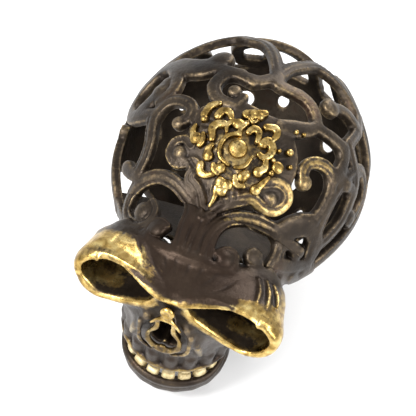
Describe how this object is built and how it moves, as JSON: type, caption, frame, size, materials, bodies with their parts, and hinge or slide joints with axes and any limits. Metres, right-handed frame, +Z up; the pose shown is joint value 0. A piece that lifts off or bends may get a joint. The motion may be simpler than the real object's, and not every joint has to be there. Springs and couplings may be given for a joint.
{
  "type": "openwork skull ornament",
  "caption": "Small cast brass skull with a pierced scrollwork cranium, deep eye sockets, bared teeth and a beaded rosette on the brow, standing on its jaw and neck ring",
  "frame": {"origin": "middle of the object's box in plan, at the level of the surface it stands on", "axes": "+Z up, +Y from the face to the back of the skull, +X to the skull's side that is on the right when its face is looked at"},
  "size_m": [0.0642, 0.092, 0.0689],
  "materials": {
    "patina": "dark brown chemical patina, worn lighter on raised edges",
    "polished": "hand-polished bare brass on raised detail",
    "teeth": "pale polished brass tooth faces"
  },
  "bodies": {
    "root": {"skullcap": "patina", "face_mask": "patina", "right_eye_socket": "patina", "left_eye_socket": "patina", "nose_cup": "patina", "nose_rim": "polished", "lower_jaw": "patina", "foot_ring": "patina", "upper_tooth_1": "teeth", "upper_tooth_2": "teeth", "upper_tooth_3": "teeth", "upper_tooth_4": "teeth", "upper_tooth_5": "teeth", "upper_tooth_6": "teeth", "upper_tooth_7": "teeth", "upper_tooth_8": "teeth", "lower_tooth_1": "teeth", "lower_tooth_2": "teeth", "lower_tooth_3": "teeth", "lower_tooth_4": "teeth", "lower_tooth_5": "teeth", "lower_tooth_6": "teeth", "lower_tooth_7": "teeth", "lower_tooth_8": "teeth", "rosette_boss": "polished", "rosette_top_bead": "polished", "rosette_right_bead": "polished", "rosette_lower_right_bead": "polished", "rosette_low_bead": "polished", "rosette_lower_left_bead": "polished", "rosette_heart_leaf": "polished", "rosette_left_bead": "polished", "rosette_upper_left_bead": "polished", "rosette_comma_bead": "polished", "rosette_left_petal": "polished", "rosette_top_petal": "polished", "rosette_upper_right_curl": "polished", "rosette_right_petal": "polished", "rosette_lower_left_curl": "polished", "rosette_left_comma": "polished", "rosette_upper_left_curl": "polished", "rosette_crown_patch": "polished"}
  },
  "joints": []
}
